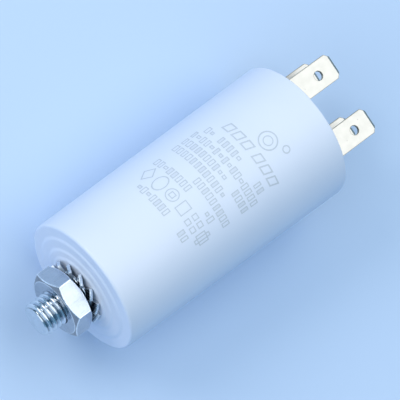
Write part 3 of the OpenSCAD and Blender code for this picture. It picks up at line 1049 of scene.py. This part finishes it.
def makeSolder():
    b = Board("solderAlloy")
    lumps = b.noise(0.9, detail=3)
    frost = b.noise(0.15)
    flux = b.rise(b.noise(1.6), 0.58, 0.66)
    shade = b.blend(frost, joint["bright"], joint["frosted"])
    shade = b.blend(flux * 0.7, shade, joint["flux"])
    return b.finish(shade, 0.2 + frost * 0.25, b.bump(lumps + frost * 0.15, 0.12), 1 - flux * 0.9)


film = {
    "light": (0.68, 0.7, 0.72),
    "dark": (0.5, 0.52, 0.55),
}


def makeFilm():
    b = Board("windingFilm")
    y, z = b.axes()[1:]
    turns = b.turnings(hypot(y, z), 7, 3)
    creases = b.noise(1.2, detail=3, scale=(0.06, 1, 1))
    shade = b.blend(turns, film["light"], film["dark"])
    return b.finish(shade, 0.15 + creases * 0.2, b.bump(turns * 0.4 + creases, 0.05), 0.9)


core = {
    "light": (0.8, 0.77, 0.69),
    "dark": (0.74, 0.7, 0.62),
    "grain": 0.25,
    "rough": 0.4,
}


def makeCorePlastic():
    b = Board("corePlastic")
    shade, rough, grain = hardPlastic(b, core)
    return b.finish(shade, rough, b.bump(grain, 0.015))


wrap = {
    "tapeWidth": 11,
    "lapShare": 0.06,
    "light": (0.78, 0.62, 0.25),
    "dark": (0.7, 0.54, 0.2),
    "raisedShade": (0.85, 0.72, 0.4),
}


def makeWrapFilm():
    b = Board("wrapFilm")
    x = b.axes()[0]
    # one turn of tape lies on the edge of the next
    lap = (x / wrap["tapeWidth"]).maths("FRACT") < wrap["lapShare"]
    bubbles = b.rise(b.noise(1.5, detail=3, scale=(1, 0.5, 0.5)), 0.6, 0.7)
    shade = b.blend(b.noise(4), wrap["light"], wrap["dark"])
    shade = b.blend(lap * 0.4 + bubbles * 0.3, shade, wrap["raisedShade"])
    return b.finish(shade, 0.14 + bubbles * 0.2, b.bump(lap + bubbles * 0.6, 0.05))


spray = {
    "light": (0.5, 0.51, 0.52),
    "dark": (0.3, 0.31, 0.33),
}


def makeSprayedMetal():
    b = Board("sprayedMetal")
    grains = b.cells(2.6)
    cloud = b.noise(0.8, detail=5, rough=0.7)
    shade = b.blend(cloud, spray["light"], spray["dark"])
    return b.finish(shade, 0.5 + cloud * 0.3, b.bump(cloud - grains * 0.7, 0.12), 0.8)


disc = {
    "dark": (0.22, 0.13, 0.06),
    "light": (0.46, 0.32, 0.18),
    "fleck": (0.12, 0.07, 0.03),
}


def makePressboard():
    b = Board("pressboard")
    fibres = b.noise(0.35, detail=4, rough=0.65, scale=(1, 0.15, 1))
    crossed = b.noise(0.35, detail=4, rough=0.65, scale=(1, 1, 0.15))
    shade = b.blend(fibres & crossed, disc["dark"], disc["light"])
    shade = b.blend(b.spots(1.2, 0.15, 0.4) * 0.5, shade, disc["fleck"])
    return b.finish(shade, 0.75 + fibres * 0.15, b.bump(fibres + crossed, 0.05))


resin = {
    "dark": (0.13, 0.16, 0.075),
    "light": (0.2, 0.22, 0.11),
    "bubble": (0.3, 0.32, 0.2),
}


def makeResin():
    b = Board("pottingResin")
    swirl = b.noise(4, detail=4, scale=(0.4, 1, 1))
    bubbles = b.spots(2.5, 0.28, 0.35)
    shade = b.blend(b.rise(swirl, 0.3, 0.7), resin["dark"], resin["light"])
    shade = b.blend(bubbles * 0.6, shade, resin["bubble"])
    return b.finish(shade, 0.08 + swirl * 0.15, b.bump(swirl * 0.5 - bubbles, 0.08))


canPlastic = makeCanPlastic()
lidPlastic = makeLidPlastic()
nutZinc, studZinc, washerZinc = makeNutZinc(), makeStudZinc(), makeWasherZinc()
terminalTin, rivetTin = makeTerminalTin(), makeRivetTin()
print("finishes of the visible pieces are made")

finishPiece(makeCan(), canPlastic, ["case"])
finishPiece(makeStud(), studZinc, ["stud"])
finishPiece(makeNut(), nutZinc, ["hex_nut"])
finishPiece(makeWasher(), washerZinc, ["lock_washer"])
finishPiece(makeLid(), lidPlastic, ["lid"])
for side in ("left", "right"):
    blades = "terminal_" + side
    rolled = "rivet_" + side
    finishPiece(makeTerminal(side + "Terminal", blades), terminalTin, [blades])
    rivetted = makeRivet(side + "Rivet", rolled, terminalRows[blades])
    finishPiece(rivetted, rivetTin, [rolled])

lugTin, leadWire = makeLugTin(), makeLeadWire()
solder, sprayedMetal = makeSolder(), makeSprayedMetal()
innerFinishes = {
    "solder_lug_left": lugTin, "solder_lug_right": lugTin,
    "long_lead": leadWire, "short_lead": leadWire,
    "long_lead_sleeve": makeSleeve("redSleeve"), "short_lead_sleeve": makeSleeve("blueSleeve"),
    "lug_joint_left": solder, "lug_joint_right": solder,
    "top_joint": solder, "bottom_joint": solder,
    "film_winding": makeFilm(), "winding_core": makeCorePlastic(), "winding_wrap": makeWrapFilm(),
    "end_spray_top": sprayedMetal, "end_spray_bottom": sprayedMetal,
    "insulating_disc": makePressboard(), "potting_resin": makeResin(),
}
for name, finish in innerFinishes.items():
    for slot in nodes[name].material_slots:
        slot.material = finish
print("finishes of the", len(innerFinishes), "inner pieces are made")

view = {
    "aim": (34.674, 0.192, 1.15),
    "azimuth": -104.162,
    "elevation": 65.695,
    "roll": 69.064,
    "distance": 567.96,
    "lens": 234.18,
    "sensorWidth": 36,
    "clipStart": 0.01,  # in m
}


def makeCamera():
    v = view
    azimuth, elevation, roll = (math.radians(v[key]) for key in ("azimuth", "elevation", "roll"))
    back = Vector((math.sin(azimuth) * math.cos(elevation),
                   -math.cos(azimuth) * math.cos(elevation), math.sin(elevation)))
    level = (-back).cross(Vector((0, 0, 1))).normalized()
    right = math.cos(roll) * level + math.sin(roll) * level.cross(-back)
    up = back.cross(right)
    turn = Matrix((right, up, back)).transposed().to_4x4()
    place = (Vector(v["aim"]) + v["distance"] * back) * mm
    bpy.ops.object.select_all(action="DESELECT")
    bpy.ops.object.camera_add()
    camera = bpy.context.object
    camera.matrix_world = Matrix.Translation(place) @ turn
    camera.data.lens = v["lens"]
    camera.data.sensor_width = v["sensorWidth"]
    camera.data.clip_start = v["clipStart"]
    bpy.context.scene.camera = camera


lamps = {  # direction from the can's middle, distance and size in m, and power in W
    "key": ((-0.42, 0.7, 0.6), 1.0, 0.44, 3.2),
    "window": ((0.42, 0.68, 0.6), 1.1, 1.1, 1.8),
    "overhead": ((0.4, -0.04, 0.92), 1.1, 1.2, 5.8),
    "front": ((-0.8, 0.1, 0.5), 1.1, 1.1, 3.8),
}


def makeLamps():
    for name, (direction, distance, size, power) in lamps.items():
        way = Vector(direction).normalized()
        bpy.ops.object.light_add(type="AREA", location=way * distance + Vector(view["aim"]) * mm)
        lamp = bpy.context.object
        lamp.name = name
        lamp.rotation_euler = way.to_track_quat("Z", "Y").to_euler()
        lamp.data.shape = "DISK"
        lamp.data.size = size
        lamp.data.energy = power


room = {
    "floorSize": 4,  # in m
    "floor": (0.58, 0.7, 0.87),
    "bounce": (0.27, 0.5, 0.86),  # what the floor throws back on the can, bluer than it looks
    "floorRough": 0.9,
    "air": (0.25, 0.6, 0.95, 1),
    "airStrength": 0.45,
}


def makeFloor():
    bpy.ops.object.select_all(action="DESELECT")
    bpy.ops.mesh.primitive_plane_add(size=room["floorSize"], location=(0, 0, cadBox[0].z))
    floor = settle("floor")
    b = Board("floorPaper")
    path = b.add("LightPath", output="Is Camera Ray")
    seen = path | path.also("Is Glossy Ray") | path.also("Is Transmission Ray")
    shade = b.blend(seen, room["bounce"], room["floor"])
    floor.data.materials.append(b.finish(shade, room["floorRough"]))


def makeWorld():
    world = bpy.data.worlds.new("sky")
    bpy.context.scene.world = world
    world.use_nodes = True
    background = world.node_tree.nodes["Background"]
    background.inputs["Color"].default_value = room["air"]
    background.inputs["Strength"].default_value = room["airStrength"]


makeCamera()
makeLamps()
makeFloor()
makeWorld()
bpy.context.scene.view_settings.view_transform = "Standard"
print("camera, lamps and floor are in place")
